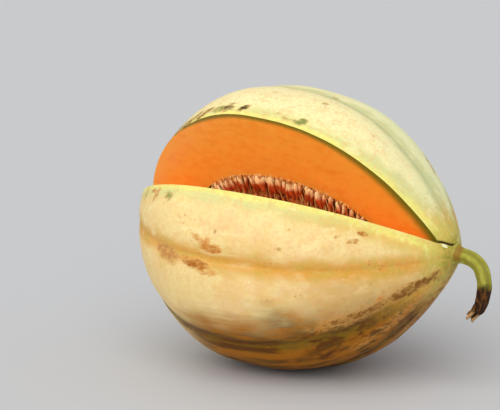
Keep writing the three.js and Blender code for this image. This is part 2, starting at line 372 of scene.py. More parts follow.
class StudioSettings(bpy.types.PropertyGroup):
    """Camera, light and floor."""

    camera_place: position("Camera place", "Where the camera stands", (0.5649, -0.9306, 0.2847))
    camera_target: position("Camera target", "What the camera looks at", (-0.02065, -0.00973, 0.08171))
    lens: bpy.props.FloatProperty(name="Lens", description="Focal length", default=156.4, unit="CAMERA")
    light_place: position("Light", "Where the main light comes from", (0.2, -0.84, 0.76), "DIRECTION")
    light_strength: bpy.props.FloatProperty(
        name="Main light", description="Strength of the main light", default=2.1, min=0
    )
    light_softness: bpy.props.FloatProperty(
        name="Softness", description="How wide the main light looks", default=math.radians(75),
        subtype="ANGLE",
    )
    sky: share("Sky", "Strength of the even light from all round", 0.64, high=3)
    floor: colour("Floor", "Colour of the floor", (204, 203, 201))
    backdrop: colour("Backdrop", "Colour of the even light", (236, 240, 248))


class Value:
    """A socket of a node tree, so that shader maths reads as Python."""

    def __init__(self, finish, socket):
        self.finish = finish
        self.socket = socket

    def __add__(self, other):
        return self.finish.math("ADD", self, other)

    def __sub__(self, other):
        return self.finish.math("SUBTRACT", self, other)

    def __rsub__(self, other):
        return self.finish.math("SUBTRACT", other, self)

    def __mul__(self, other):
        return self.finish.math("MULTIPLY", self, other)

    def __truediv__(self, other):
        return self.finish.math("DIVIDE", self, other)

    __radd__ = __add__
    __rmul__ = __mul__

    def fade(self, start, end):
        """0 before start, 1 after end, and smooth between them. End may be the lower one."""
        settings = {"interpolation_type": "SMOOTHSTEP"}
        return self.finish.node("MapRange", settings, {"Value": self, "From Min": start, "From Max": end})


class Finish:
    """A material that is put together node by node."""

    def __init__(self, name, uniform):
        self.material = bpy.data.materials.new(name)
        self.material.use_nodes = True
        self.tree = self.material.node_tree
        self.shader = self.tree.nodes["Principled BSDF"]
        for socket, value in uniform.items():
            self.shader.inputs[socket].default_value = value
        self.place = self.node("TexCoord", output="Object")

    def node(self, kind, settings=None, sockets=None, output=0):
        """One node: its settings first, then the values or links of its sockets."""
        node = self.tree.nodes.new("ShaderNode" + kind)
        for name, value in (settings or {}).items():
            setattr(node, name, value)
        for name, value in (sockets or {}).items():
            self.join(value, node.inputs[name])
        return Value(self, node.outputs[output])

    def join(self, value, socket):
        """Links a value to a socket, or sets the socket to a plain number or colour."""
        if isinstance(value, Value):
            self.tree.links.new(value.socket, socket)
        elif socket.type == "RGBA":
            socket.default_value = (*value, 1)
        else:
            socket.default_value = value

    def math(self, operation, first, second):
        return self.node("Math", {"operation": operation}, {0: first, 1: second})

    def mix(self, factor, first, second):
        """The first colour where the factor is 0 and the second where it is 1."""
        return self.node("Mix", {"data_type": "RGBA"}, {0: factor, 6: first, 7: second}, output=2)

    def attribute(self, name):
        return self.node("Attribute", {"attribute_name": name}, output="Fac")

    def axis(self, name):
        """One coordinate of the place on the melon."""
        return self.node("SeparateXYZ", None, {"Vector": self.place}, output=name)

    def stretched(self, x, y, z):
        """The place, squeezed by a share along each axis, so that a pattern runs longer where it is low."""
        return self.node("Mapping", None, {"Vector": self.place, "Scale": (x, y, z)})

    def grain(self, size, detail=2, vector=None, roughness=0.5):
        """Soft noise from 0 to 1, with lumps of a size in metres."""
        vector = vector or self.place
        sockets = {"Vector": vector, "Scale": 1 / size, "Detail": detail, "Roughness": roughness}
        return self.node("TexNoise", None, sockets)

    def dots(self, size):
        """Distance to the nearest of many scattered points, in shares of their spacing."""
        return self.node("TexVoronoi", None, {"Vector": self.place, "Scale": 1 / size}, output="Distance")

    def bump(self, height, distance):
        self.paint("Normal", self.node("Bump", None, {"Height": height, "Distance": distance}))

    def paint(self, socket, value):
        self.join(value, self.shader.inputs[socket])


# Sizes of the rind's patterns, from broad to fine, and how far two of them are squeezed along X
CLOUDS = 30 * MM
PATCHES = 14 * MM
SPECK_GROUPS = 11 * MM
MOTTLE = 6 * MM
STREAKS = 5.5 * MM
SPECKS = 4.5 * MM
BARK_FIBRES = 2.4 * MM
NET_CELLS = 2.1 * MM
FINE_GRAIN = 1.6 * MM
STREAK_SQUEEZE = 0.13
BARK_SQUEEZE = 0.3

# Where the rind's colours begin and where they are full: heights, then stations, then distances from a cut
# Heights where the crown colour, painted light on top, fades in
LIT_TOP_HEIGHTS = (85 * MM, 130 * MM)
GOLDEN_HEIGHTS = (110 * MM, 70 * MM)
BLUSH_HEIGHTS = (160 * MM, 100 * MM)
# Heights of the painted shade on the low side towards the stem, and underneath
SHADE_SIDE_HEIGHTS = (74 * MM, 52 * MM)
SHADED_BELLY_HEIGHTS = (50 * MM, 22 * MM)
PALE_HEIGHTS = (78 * MM, 95 * MM)
# Heights where the painted light on the far side fades in
FAR_SIDE_HEIGHTS = (50 * MM, 80 * MM)
# Heights where the grooves darken as painted shade
LOW_GROOVE_HEIGHTS = (55 * MM, 35 * MM)
TOP_GROOVE_HEIGHTS = (78 * MM, 98 * MM)
TAN_HEIGHTS = (88 * MM, 70 * MM)
UPPER_HEIGHTS = (30 * MM, 60 * MM)
BRIGHT_STREAK_HEIGHTS = (50 * MM, 80 * MM)
# Stations where the painted shade on the low side begins and where it is full
SHADE_SIDE_STATIONS = (15 * MM, 85 * MM)
PALE_STATIONS = (40 * MM, 90 * MM)
BLOSSOM_STATIONS = (-10 * MM, -55 * MM)
# Stations and depths where the painted light on the far side fades in
FAR_SIDE_STATIONS = (-20 * MM, 50 * MM)
FAR_SIDE = (-20 * MM, 15 * MM)
THIN_RIM_STATIONS = (50 * MM, 100 * MM)
GREEN_RIM = (11 * MM, 0)
# How close to a cut the rim's painted highlight begins and is full
YELLOW_RIM = (4 * MM, 0.5 * MM)

# How far a tilt and the patterns shift those edges, and the height of the rind's bumps
# The tilt and the patterns below shift the edge of the painted shade underneath
BELLY_TILT = 0.15
BELLY_CLOUDS = 30 * MM
BELLY_STREAKS = 24 * MM
RIM_MOTTLE = 3 * MM
RIM_PATCHES = 6 * MM
RIM_THINNING = 3 * MM
RIND_BUMP = 0.4 * MM


class RindPatterns:
    """The places and the noises that the rind's colours share."""

    def __init__(self, finish):
        self.height = finish.axis("Z")
        self.station = finish.axis("X")
        self.clouds = finish.grain(CLOUDS, detail=3)
        self.patches = finish.grain(PATCHES, detail=4, roughness=0.6)
        self.mottle = finish.grain(MOTTLE, detail=4, roughness=0.6)
        self.fine = finish.grain(FINE_GRAIN, detail=3, roughness=0.6)
        along = finish.stretched(BARK_SQUEEZE, 1, 1)
        self.fibrous = finish.grain(BARK_FIBRES, detail=3, vector=along, roughness=0.6)
        along = finish.stretched(STREAK_SQUEEZE, 1, 1)
        self.streaks = finish.grain(STREAKS, detail=3, vector=along, roughness=0.55)
        self.streaky_patches = self.patches + (self.streaks - 0.5)
        self.pale = self.station.fade(*PALE_STATIONS) * self.height.fade(*PALE_HEIGHTS)
        self.upper = self.height.fade(*UPPER_HEIGHTS)
        # Painted light on the far side, which also keeps it less mottled
        lit_far_side = finish.axis("Y").fade(*FAR_SIDE) * self.station.fade(*FAR_SIDE_STATIONS)
        self.lit_far_side = lit_far_side * self.height.fade(*FAR_SIDE_HEIGHTS)


def plain_skin(finish, colours, look):
    """Cream on top, warmer on the sides and golden brown with dark streaks underneath: partly the rind's own
    tones, partly painted light on top and on the far side and painted shade on the low side.
    """
    # Lighter towards the top: partly the rind's own pale tone, partly painted light
    skin = finish.mix(look.height.fade(*LIT_TOP_HEIGHTS), colours.flank, colours.crown)
    patchy = (look.patches + (look.clouds - 0.5)).fade(0.46, 0.7)
    skin = finish.mix(patchy * look.height.fade(*GOLDEN_HEIGHTS) * 0.5, skin, colours.golden)
    blush = (look.mottle + (look.clouds - 0.5) * 0.8).fade(0.45, 0.75) * look.height.fade(*BLUSH_HEIGHTS)
    skin = finish.mix(blush * 0.45, skin, colours.blush)
    # Painted shade on the low side towards the stem, laid on as golden and olive patches
    shade_side = look.station.fade(*SHADE_SIDE_STATIONS) * look.height.fade(*SHADE_SIDE_HEIGHTS)
    skin = finish.mix(shade_side * look.streaky_patches.fade(0.25, 0.65) * 0.7, skin, colours.golden)
    stained = shade_side * (look.streaks + (look.clouds - 0.5)).fade(0.4, 0.65)
    skin = finish.mix(stained * 0.3, skin, colours.belly_olive)
    # The underside: the rind's own tan with dark streaks, darker as painted shade
    shaded_belly = finish.mix(look.streaks.fade(0.42, 0.66), colours.shaded_belly, colours.belly_dark)
    shaded_belly = finish.mix(look.streaky_patches.fade(0.42, 0.66) * 0.35, shaded_belly, colours.belly_olive)
    low = look.height - look.station * BELLY_TILT
    low = low + (look.clouds - 0.5) * BELLY_CLOUDS + (look.streaks - 0.5) * BELLY_STREAKS
    skin = finish.mix(low.fade(*SHADED_BELLY_HEIGHTS), skin, shaded_belly)
    skin = finish.mix(look.pale * 0.75, skin, colours.shoulder)
    skin = finish.mix(look.station.fade(*BLOSSOM_STATIONS) * 0.7, skin, colours.flank)
    # Painted light: the far side turns pale
    return finish.mix(look.lit_far_side * 0.8, skin, colours.shoulder)


def add_grooves(finish, colours, look, skin):
    """Grooves that are greyish green on top, golden on the sides and dark underneath: partly the rind's own
    groove colour, partly painted shade in the creases and on the low side.
    """
    furrow = finish.mix(look.streaky_patches.fade(0.45, 0.6) * 0.4, colours.groove, colours.neck)
    low_furrow = finish.mix(look.streaks.fade(0.42, 0.62), colours.belly_olive, colours.belly_dark)
    # Grooves darker towards the bottom as painted shade
    furrow = finish.mix(look.height.fade(*LOW_GROOVE_HEIGHTS), furrow, low_furrow)
    furrow = finish.mix(look.height.fade(*TOP_GROOVE_HEIGHTS), furrow, colours.groove_top)
    groove_and_shade_mask = finish.attribute("groove") + (look.patches - 0.5) * 0.9 + (look.streaks - 0.5) * 0.7
    return finish.mix(groove_and_shade_mask.fade(0.12, 1.0) * 0.86, skin, furrow)


def add_rim_and_neck(finish, colours, look, skin):
    """Yellow-green rind beside the cuts, partly the rind's edge colour and partly a painted highlight along
    the cut edge, and a green and tan collar round the stem.
    """
    rim = finish.attribute("rim") + (look.mottle - 0.5) * RIM_MOTTLE + (look.patches - 0.5) * RIM_PATCHES
    rim = rim - look.station.fade(*THIN_RIM_STATIONS) * RIM_THINNING
    skin = finish.mix(rim.fade(*GREEN_RIM) * 0.5, skin, colours.rim_green)
    # Yellow along the cut edge: partly the rind's edge colour, partly a painted highlight
    skin = finish.mix(rim.fade(*YELLOW_RIM) * 0.8, skin, colours.rim)
    neck = finish.attribute("neck") + (look.patches - 0.5) * 0.7 + (look.streaks - 0.5) * 0.7
    tan = (look.streaks + (look.mottle - 0.5) * 0.6).fade(0.42, 0.62)
    tan = tan * neck.fade(1.1, 0.6) * look.height.fade(*TAN_HEIGHTS)
    collar = finish.mix(tan * 0.6, colours.neck, colours.golden)
    fibres = (look.fibrous + (look.patches - 0.5)).fade(0.5, 0.75)
    collar = finish.mix(fibres * 0.6, collar, colours.stem_olive_and_shade)
    skin = finish.mix(neck.fade(0.15, 0.9) * (1 - look.pale * 0.5) * 0.85, skin, collar)
    return finish.mix(finish.attribute("neck").fade(0.93, 1.0) * 0.7, skin, colours.stem_green)


def add_grain(finish, colours, look, skin, specks):
    """Golden mottling, bright streaks and scattered rusty specks."""
    mottled = (look.mottle + (look.fine - 0.5) * 0.6).fade(0.45, 0.7)
    mottled = mottled * (look.upper - look.pale) * (1 - look.lit_far_side)
    skin = finish.mix(mottled * 0.3, skin, colours.golden)
    fine = look.fine.fade(0.42, 0.6) * look.upper * (1 - look.lit_far_side * 0.6)
    skin = finish.mix(fine * 0.2, skin, colours.golden)
    bright = look.streaks.fade(0.45, 0.3) * look.height.fade(*BRIGHT_STREAK_HEIGHTS)
    skin = finish.mix(bright * 0.4, skin, colours.crown)
    return finish.mix(specks * 0.5, skin, colours.rust_mark)


def add_marks(finish, colours, look, skin):
    """The placed stains and scars, ragged at their edges and with a golden halo, and painted shade in the
    crack beside the stem.
    """
    edges = (look.fibrous - 0.5) * 2.4 + (look.mottle - 0.5) * 1.6 + (look.fine - 0.5) * 0.6
    inside = 0.35 + (look.fibrous + look.fine) * 0.55
    cells = finish.dots(NET_CELLS).fade(0.34, 0.16) * 0.8
    for name in MARK_KINDS:
        mark = finish.attribute(name)
        tint = getattr(colours, name + "_mark")
        if name == "pale":
            skin = finish.mix(mark.fade(0.2, 0.6) * inside, skin, tint)
            continue
        ragged = mark + edges * mark.fade(0, 0.35)
        filled = inside * (1 - cells) if name == "net" else inside
        skin = finish.mix(ragged.fade(0, 0.6) * 0.45, skin, colours.golden)
        skin = finish.mix(ragged.fade(0.1, 1.25) * filled, skin, tint)
    # Painted shade inside the crack beside the stem
    return finish.mix(finish.attribute("crack").fade(0.2, 0.65), skin, colours.dark_mark)


def rind_finish(colours):
    """Waxy, mottled skin with golden grooves, a streaky underside, stains and corky scars."""
    finish = Finish("rind", {
        "Subsurface Weight": 0.12,
        "Subsurface Radius": (0.006, 0.003, 0.001),
        "Subsurface Scale": 1.0,
        "Specular IOR Level": 0.12,
    })
    look = RindPatterns(finish)
    specks = finish.dots(SPECKS)
    groups = finish.grain(SPECK_GROUPS, detail=1).fade(0.5, 0.62)
    skin = plain_skin(finish, colours, look)
    skin = add_grooves(finish, colours, look, skin)
    skin = add_rim_and_neck(finish, colours, look, skin)
    skin = add_grain(finish, colours, look, skin, specks.fade(0.16, 0.06) * groups)
    skin = finish.mix(finish.attribute("blossom") * (0.5 + look.mottle * 0.6), skin, colours.brown_mark)
    finish.paint("Base Color", add_marks(finish, colours, look, skin))
    finish.paint("Roughness", 0.42 + look.mottle * 0.2)
    pits = specks.fade(0.2, 0.05) * groups
    finish.bump(look.mottle * 0.5 + look.fine * 0.35 + look.streaks * 0.3 + pits * 0.4, RIND_BUMP)
    return finish.material


# Sizes of the patterns of flesh, pulp and seeds, the edges of the green layer, and the heights of the bumps
FLESH_CLOUDS = 20 * MM
FLESH_GRAINS = 3 * MM
FLESH_STRANDS = 1.6 * MM
FLESH_POINTS = 0.7 * MM
RIND_EDGE = 3 * MM
GREEN_LAYERS = (2.5, 0.35)
FLESH_BUMP = 0.3 * MM
PULP_STRINGS = 2.2 * MM
PULP_BUMP = 0.4 * MM
SEED_FILM = 1.6 * MM
SEED_BUMP = 0.2 * MM


def flesh_finish(colours):
    """Moist orange flesh, green under the rind and softer round the cavity."""
    finish = Finish("flesh", {
        "Subsurface Weight": 0.3,
        "Subsurface Radius": (0.012, 0.004, 0.001),
        "Subsurface Scale": 0.6,
        "Specular IOR Level": 0.5,
    })
    depth = finish.attribute("depth")
    layer = finish.attribute("layer")
    core = finish.attribute("core")
    clouds = finish.grain(FLESH_CLOUDS)
    strands = finish.grain(FLESH_STRANDS, detail=3, vector=finish.stretched(1, 0.35, 0.35))
    points = finish.grain(FLESH_POINTS)
    grains = finish.grain(FLESH_GRAINS, detail=3, vector=finish.stretched(0.5, 1, 1), roughness=0.6)
    soft = (core + (clouds - 0.5) * 0.5).fade(0.35, 1.0)
    flesh = finish.mix(soft * 0.6, colours.flesh, colours.flesh_core)
    flesh = finish.mix((strands * 0.7 + points * 0.3).fade(0.45, 0.65) * 0.5, flesh, colours.flesh_core)
    flesh = finish.mix((grains + (clouds - 0.5) * 0.6).fade(0.44, 0.66) * 0.6, flesh, colours.flesh_deep)
    flesh = finish.mix(depth.fade(RIND_EDGE, 0) * 0.6, flesh, colours.flesh_core)
    layers_in = depth / layer + (strands - 0.5) * 0.3
    flesh = finish.mix(layers_in.fade(*GREEN_LAYERS), flesh, colours.green_layer)
    finish.paint("Base Color", flesh)
    finish.paint("Roughness", 0.3 + strands * 0.25)
    finish.bump(strands * 0.6 + points * 0.4, FLESH_BUMP)
    return finish.material


def pulp_finish(colours, name, light, dark):
    """Wet, stringy pulp, with painted shade in its hollows."""
    finish = Finish(name, {
        "Subsurface Weight": 0.35,
        "Subsurface Radius": (0.006, 0.0015, 0.0005),
        "Subsurface Scale": 0.5,
        "Specular IOR Level": 0.3,
        "Coat Weight": 0.25,
        "Coat Roughness": 0.15,
    })
    strings = finish.grain(PULP_STRINGS, detail=3, roughness=0.6)
    hollow = finish.attribute("hollow")
    # Painted shade where the pulp is sunk
    finish.paint("Base Color", finish.mix((hollow + (strings - 0.5)).fade(0.2, 0.9), light, dark))
    finish.paint("Roughness", 0.22 + strings * 0.25)
    finish.bump(strings, PULP_BUMP)
    return finish.material


def seed_finish(colours):
    """Pale, wet seeds whose narrow end is covered with amber pulp and darkened by painted shade."""
    finish = Finish("seed", {
        "Subsurface Weight": 0.35,
        "Subsurface Radius": (0.004, 0.002, 0.0008),
        "Subsurface Scale": 0.5,
        "Specular IOR Level": 0.3,
        "Coat Weight": 0.25,
        "Coat Roughness": 0.15,
    })
    tip = finish.attribute("tip")
    film = finish.grain(SEED_FILM, detail=3)
    # Pale where the seed is bare; the covered end darker, partly painted shade
    bare = (tip + (film - 0.5) * 0.35).fade(0.5, 0.8)
    finish.paint("Base Color", finish.mix(bare, colours.shaded_seed_foot, colours.seed_tip))
    finish.paint("Roughness", 0.25 + film * 0.2)
    finish.bump(film, SEED_BUMP)
    return finish.material


STEM_STREAKS = 1.2 * MM
STEM_BLOTCHES = 3.5 * MM
STEM_BUMP = 0.5 * MM


def stem_finish(colours):
    """Ridged green stem that has dried brown towards its split, straw-coloured end."""
    finish = Finish("stem", {"Specular IOR Level": 0.18})
    dried = finish.attribute("dried")
    streaks = finish.grain(STEM_STREAKS, detail=3, vector=finish.stretched(0.6, 1, 0.3))
    blotches = finish.grain(STEM_BLOTCHES, detail=3)
    yellow = (streaks * 0.6 + blotches * 0.6).fade(0.45, 0.85)
    bark = finish.mix(yellow * 0.6, colours.stem_green, colours.neck)
    # Painted shade in the furrows between the ridges
    bark = finish.mix(finish.attribute("valley") * (0.3 + blotches * 0.5), bark, colours.stem_olive_and_shade)
    bark = finish.mix(finish.attribute("foot") * 0.5, bark, colours.neck)
    bruise = finish.attribute("bruise") + (streaks - 0.5) * 1.2
    bark = finish.mix(bruise.fade(0.3, 1.0) * 0.75, bark, colours.brown_mark)
    wood = finish.mix(streaks.fade(0.45, 0.7) * 0.6, colours.stem_brown, colours.brown_mark)
    bark = finish.mix((dried + (blotches - 0.5) * 0.7).fade(0.25, 0.8), bark, wood)
    straw = finish.attribute("straw") + dried * (streaks - 0.5) + (blotches - 0.5) * 0.3
    bark = finish.mix(straw.fade(0.25, 0.8) * 0.8, bark, colours.stem_straw)
    finish.paint("Base Color", bark)
    finish.paint("Roughness", 0.5 + streaks * 0.25)
    finish.bump(streaks * 0.7 + blotches * 0.3, STEM_BUMP)
    return finish.material


def plain_finish(name, tint, roughness):
    """A plain painted surface of the studio, with the faintest clouds."""
    finish = Finish(name, {"Roughness": roughness, "Specular IOR Level": 0.2})
    clouds = finish.grain(STUDIO_CLOUDS, detail=1)
    darker = tuple(0.8 * level for level in tint)
    finish.paint("Base Color", finish.mix(clouds * 0.06, tint, darker))
    return finish.material


def angle_of(point):
    return math.atan2(point.z, -point.y)


def outward_at(angle):
    return Vector((0, -math.cos(angle), math.sin(angle)))


def on_ring(x, radius, angle):
    return Vector((x, 0, 0)) + outward_at(angle) * radius


def root_at(x):
    """The point of the line where the two cuts meet, at a station."""
    return ROOT_START.lerp(ROOT_END, (x - ROOT_START.x) / (ROOT_END.x - ROOT_START.x))


def spread(start, end, count):
    """Stations that crowd towards both ends."""
    return [start + (end - start) * (1 - math.cos(math.pi * i / count)) / 2 for i in range(count + 1)]


def shares(count, *extra):
    """Even steps from 0 to 1, with some extra ones between them."""
    return sorted([i / count for i in range(count + 1)] + list(extra))


def smooth(value):
    value = min(max(value, 0), 1)
    return value * value * (3 - 2 * value)


def ramp(value, start, end):
    """0 at the start, 1 at the end and smooth between them. The end may be the lower one."""
    return smooth((value - start) / (end - start))


class Rind:
    """The ribbed skin in the melon's own frame."""

    def __init__(self, sizes):
        self.sizes = sizes
        self.crack = [self.point(x * MM, math.radians(angle)) for x, angle in CRACK]

    def rise(self, x):
        """How far the stem end bends up off the straight axis."""
        return STEM_END_RISE * (max(x, 0) / STEM_END.length) ** 4

    def groove_distance(self, angle):
        """The share of the way from one groove to the next, and the angle between the two."""
        degrees = (math.degrees(angle) - GROOVE_ANGLES[0]) % 360 + GROOVE_ANGLES[0]
        grooves = (*GROOVE_ANGLES, GROOVE_ANGLES[0] + 360)
        for low, high in zip(grooves, grooves[1:]):
            if degrees <= high:
                return (degrees - low) / (high - low), math.radians(high - low)
        return 1.0, math.radians(grooves[-1] - grooves[-2])

    def plain_radius(self, x):
        end = STEM_END if x > 0 else BLOSSOM_END
        return GIRTH_RADIUS * (1 - min(abs(x) / end.length, 1) ** end.early) ** (1 / end.late)

    def radius(self, x, angle):
        way, _ = self.groove_distance(angle)
        crown = ((4 * way * (1 - way) + GROOVE_SOFTNESS) / (1 + GROOVE_SOFTNESS)) ** RIB_ROUNDNESS
        ribbed = self.plain_radius(x) * (1 - self.sizes.groove_depth * (1 - crown))
        spot = on_ring(x, ribbed, angle)
        lumps = noise.noise(spot / SWELL_SIZE) + RIPPLE_SHARE * noise.noise(spot / RIPPLE_SIZE)
        return ribbed + lumps * self.sizes.lump_height * min(1, ribbed / EVEN_RADIUS)

    def point(self, x, angle):
        return on_ring(x, self.radius(x, angle), angle) + Vector((0, 0, self.rise(x)))

    def cut_depth(self, x, root):
        """How far inside the skin a root point lies at a station; less than 0 is outside."""
        start = root - Vector((0, 0, self.rise(x)))
        return self.radius(x, angle_of(start)) - math.hypot(start.y, start.z)

    def edge_angle(self, x, cut):
        start = root_at(x) - Vector((0, 0, self.rise(x)))
        return edge_angle(start, cut, lambda angle: self.radius(x, angle))

    def cut_length(self, x, cut):
        """How far a cut reaches from the root line to the skin at a station."""
        return (self.point(x, self.edge_angle(x, cut)) - root_at(x)).length

    def marks(self, x, angle):
        """The strength of each kind of mark at a place on the skin."""
        strengths = dict.fromkeys(MARK_KINDS, 0.0)
        for mark in MARKS:
            along = x / MM - mark.station
            if abs(along) > mark.length:
                continue
            turned = (angle - math.radians(mark.angle) + math.pi) % FULL_TURN - math.pi
            around = turned * self.plain_radius(x) / MM
            if abs(around) > mark.length + mark.width:
                continue
            turn = math.radians(mark.turn)
            lengthwise = along * math.cos(turn) + around * math.sin(turn)
            sideways = around * math.cos(turn) - along * math.sin(turn)
            away = math.hypot(lengthwise / mark.length, sideways / mark.width) * 2
            strength = mark.strength * ramp(away, *MARK_EDGE)
            strengths[mark.kind] = max(strengths[mark.kind], strength)
        return strengths

    def crack_share(self, point):
        """1 in the middle of the crack, 0 beside it."""
        nearest = self.sizes.crack_width
        for start, end in zip(self.crack, self.crack[1:]):
            along = end - start
            way = min(max((point - start).dot(along) / along.length_squared, 0), 1)
            nearest = min(nearest, (start + along * way - point).length)
        return 1 - nearest / self.sizes.crack_width


def edge_angle(start, cut, radius_at):
    """The angle at which a cut leaves a ring, or the start point's own where that lies outside."""
    if math.hypot(start.y, start.z) >= radius_at(angle_of(start)):
        return angle_of(start)
    outward = outward_at(math.radians(cut))
    inside, outside = 0, 2 * GIRTH_RADIUS
    for _ in range(HALVINGS):
        middle = (inside + outside) / 2
        point = start + outward * middle
        if math.hypot(point.y, point.z) < radius_at(angle_of(point)):
            inside = middle
        else:
            outside = middle
    return angle_of(start + outward * inside)


def cavity_share(x):
    """1 at the cavity's widest station, 0 at its ends."""
    reach = CAVITY_TO_BLOSSOM if x < CAVITY_MIDDLE else CAVITY_TO_STEM
    return math.sqrt(max(1 - ((x - CAVITY_MIDDLE) / reach) ** 2, 0))


def cavity_radius(x, angle):
    plain = CAVITY_RADIUS * cavity_share(x)
    spot = on_ring(x, plain, angle)
    lumps = noise.noise(spot / WALL_LUMP_SIZE) + noise.noise(spot / WALL_RIPPLE_SIZE) / 2
    return plain + cavity_share(x) * lumps * WALL_LUMP_HEIGHT


def cavity_point(x, angle):
    return on_ring(x, cavity_radius(x, angle), angle)


def crossing(inside, outside, is_inside):
    """The station where a test stops holding."""
    for _ in range(HALVINGS):
        middle = (inside + outside) / 2
        if is_inside(middle):
            inside = middle
        else:
            outside = middle
    return inside


def sheet(mesh, stations, rows, place, material=0):
    """A grid of faces whose corners and their attributes come from place(station, row)."""
    placed = [place(station, row) for row in rows for station in stations]
    attributes = mesh.verts.layers.float
    layers = {name: attributes.get(name) or attributes.new(name) for name in placed[0][1]}
    grid = bmesh.ops.create_grid(mesh, x_segments=len(stations) - 1, y_segments=len(rows) - 1, size=0.5)
    corners = grid["verts"]
    for corner, (point, strengths) in zip(corners, placed):
        corner.co = point
        for name, strength in strengths.items():
            corner[layers[name]] = strength
    for face in {face for corner in corners for face in corner.link_faces}:
        face.material_index = material


def new_piece(name, mesh, materials, replaced=()):
    """A finished piece of the melon, which rides on its only body."""
    data = bpy.data.meshes.new(name)
    mesh.to_mesh(data)
    mesh.free()
    for material in materials:
        data.materials.append(material)
    piece = bpy.data.objects.new(name, data)
    bpy.context.scene.collection.objects.link(piece)
    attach(piece, "root")
    if replaced:
        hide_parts(*replaced)
    return piece


def shade_smooth(mesh, sharp_between_finishes=False):
    for face in mesh.faces:
        face.smooth = True
    if sharp_between_finishes:
        for edge in mesh.edges:
            edge.smooth = len({face.material_index for face in edge.link_faces}) < 2


def melon_mesh(sizes):
    """The rind, both cut faces and the cavity wall as one closed surface."""
    rind = Rind(sizes)
    cavity_start = CAVITY_MIDDLE - CAVITY_TO_BLOSSOM
    cavity_end = CAVITY_MIDDLE + CAVITY_TO_STEM

    def root_in_rind(x):
        return rind.cut_depth(x, root_at(x)) > 0

    def root_in_cavity(x):
        root = root_at(x)
        return math.hypot(root.y, root.z) < cavity_radius(x, angle_of(root))

    cut_start = crossing(0, -BLOSSOM_END.length, root_in_rind)
    cut_end = crossing(0, STEM_SEAT, root_in_rind)
    open_start = crossing(CAVITY_MIDDLE, cavity_start, root_in_cavity)
    open_end = crossing(CAVITY_MIDDLE, cavity_end, root_in_cavity)
    fixed = [cut_start, cut_end, open_start, open_end, cavity_start, cavity_end]
    stations = list(fixed)
    for x in spread(-BLOSSOM_END.length, STEM_SEAT, STATION_COUNT):
        if min(abs(x - y) for y in fixed) > CLOSE_STATIONS:
            stations.append(x)
    stations.sort()
    edges = {}
    for x in stations:
        outer = rind.edge_angle(x, UPPER_CUT), rind.edge_angle(x, LOWER_CUT)
        root = root_at(x)
        inner = None
        if open_start < x < open_end:
            wall = partial(cavity_radius, x)
            inner = edge_angle(root, UPPER_CUT, wall), edge_angle(root, LOWER_CUT, wall)
        edges[x] = outer, inner

    def place_rind(x, way):
        upper, lower = edges[x][0]
        angle = upper + (lower + FULL_TURN - upper) * way
        point = rind.point(x, angle)
        radius = rind.plain_radius(x)
        marks = rind.marks(x, angle)
        crack = rind.crack_share(point)
        height = (marks["red"] + marks["rust"] / 2) * sizes.scar_height - smooth(crack) * sizes.crack_depth
        point += outward_at(angle) * height
        share_of_rib, rib = rind.groove_distance(angle)
        to_groove = min(share_of_rib, 1 - share_of_rib) * rib * radius
        attributes = dict(marks)
        # Groove tint with painted shade in the crease, strongest in the middle of each groove
        attributes["groove"] = math.exp(-((to_groove / GROOVE_WIDTH) ** 2))
        attributes["blossom"] = ramp(radius, *BLOSSOM_SCAR) if x < 0 else 0
        attributes["crack"] = crack
        attributes["neck"] = ramp(x, *NECK)
        to_rim = min(angle - upper, lower + FULL_TURN - angle) * radius
        attributes["rim"] = to_rim if cut_start < x < cut_end else FAR_FROM_RIM
        attributes["depth"] = 0
        return point, attributes

    def cut_place(side):
        degrees = (UPPER_CUT, LOWER_CUT)[side]
        square = (ROOT_END - ROOT_START).cross(outward_at(math.radians(degrees))).normalized()

        def place(x, way):
            outer, inner = edges[x]
            rim = rind.point(x, outer[side])
            start = cavity_point(x, inner[side]) if inner else root_at(x)
            span = (rim - start).length
            window = smooth(min(way, 1 - way) * span / CUT_FLAT_EDGE)
            point = start.lerp(rim, way)
            point += square * window * noise.noise(point / CUT_WAVE_SIZE) * CUT_WAVE_HEIGHT
            slope = (rind.cut_length(x + MM, degrees) - rind.cut_length(x - MM, degrees)) / (2 * MM)
            depth = span * (1 - way) / math.sqrt(1 + slope * slope)
            layer = sizes.green_layer * ramp(x, *GREEN_LAYER_RISE) + THINNEST_LAYER
            layer += (sizes.green_layer_at_stem - sizes.green_layer) * ramp(x, *GREEN_LAYER_GROWTH)
            return point, {
                "depth": depth,
                "layer": layer,
                "core": ramp(span * way, CORE_DEPTH, 0) if inner else 0,
            }
        return place

    def place_cavity(x, way):
        upper, lower = edges[x][1] or (angle_of(root_at(x)),) * 2
        angle = upper + (lower + FULL_TURN - upper) * way
        return cavity_point(x, angle), {"depth": 1, "layer": MM, "core": 1}

    mesh = bmesh.new()
    sheet(mesh, stations, shares(RIND_ROWS, RIM_ROW, 1 - RIM_ROW), place_rind)
    cut_stations = [x for x in stations if cut_start <= x <= cut_end]
    for side in (0, 1):
        sheet(mesh, cut_stations, shares(CUT_ROWS, *CUT_EDGE_ROWS), cut_place(side), material=1)
    cavity_stations = [x for x in stations if cavity_start <= x <= cavity_end]
    sheet(mesh, cavity_stations, shares(WALL_ROWS), place_cavity, material=1)
    bmesh.ops.remove_doubles(mesh, verts=mesh.verts, dist=SAME_PLACE)
    seat = [edge for edge in mesh.edges if edge.is_boundary]
    bmesh.ops.poke(mesh, faces=bmesh.ops.holes_fill(mesh, edges=seat, sides=0)["faces"])
    bmesh.ops.recalc_face_normals(mesh, faces=mesh.faces)
    bmesh.ops.transform(mesh, matrix=POSE, verts=mesh.verts)
    for corner in mesh.verts:
        corner.co.z = max(corner.co.z, 0)
    shade_smooth(mesh, sharp_between_finishes=True)
    return mesh


